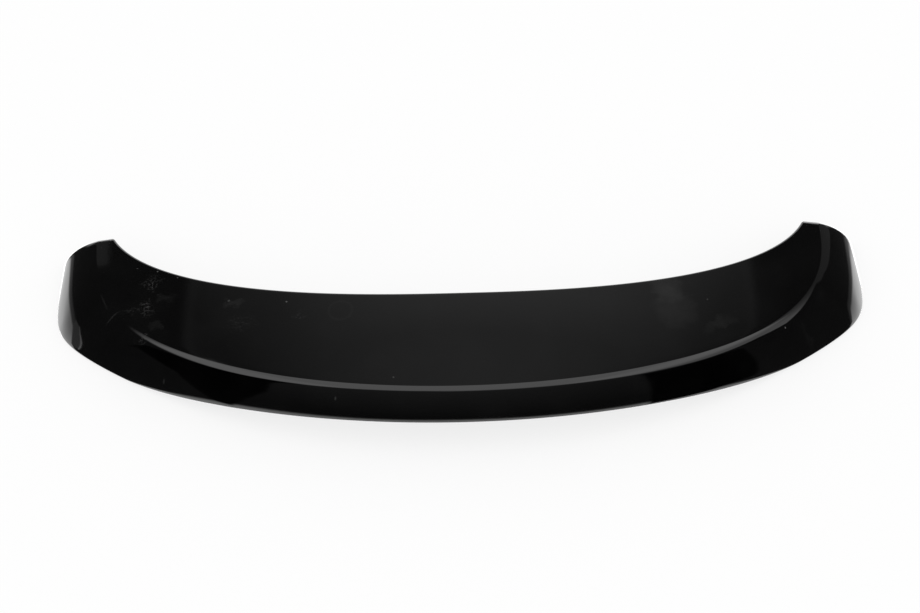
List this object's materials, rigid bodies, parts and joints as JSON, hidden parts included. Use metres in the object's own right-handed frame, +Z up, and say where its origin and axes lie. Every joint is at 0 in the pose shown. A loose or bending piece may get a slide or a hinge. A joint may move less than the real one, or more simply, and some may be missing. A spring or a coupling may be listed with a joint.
{
  "type": "car roof spoiler",
  "caption": "Gloss black moulded shell that arches over the top edge of a car's rear window, with a crowned panel, turned-down lip and end cheeks.",
  "frame": {"origin": "middle of the box around the shell, at the level of the feet of the end cheeks", "axes": "+X along the width, +Y towards the front of the car and the shell's open front edge, +Z up"},
  "size_m": [1.2138, 0.3644, 0.104],
  "materials": {
    "gloss_black": "high gloss moulded, lightly dusty"
  },
  "bodies": {
    "root": {"spoiler_shell": "gloss_black"}
  },
  "joints": []
}
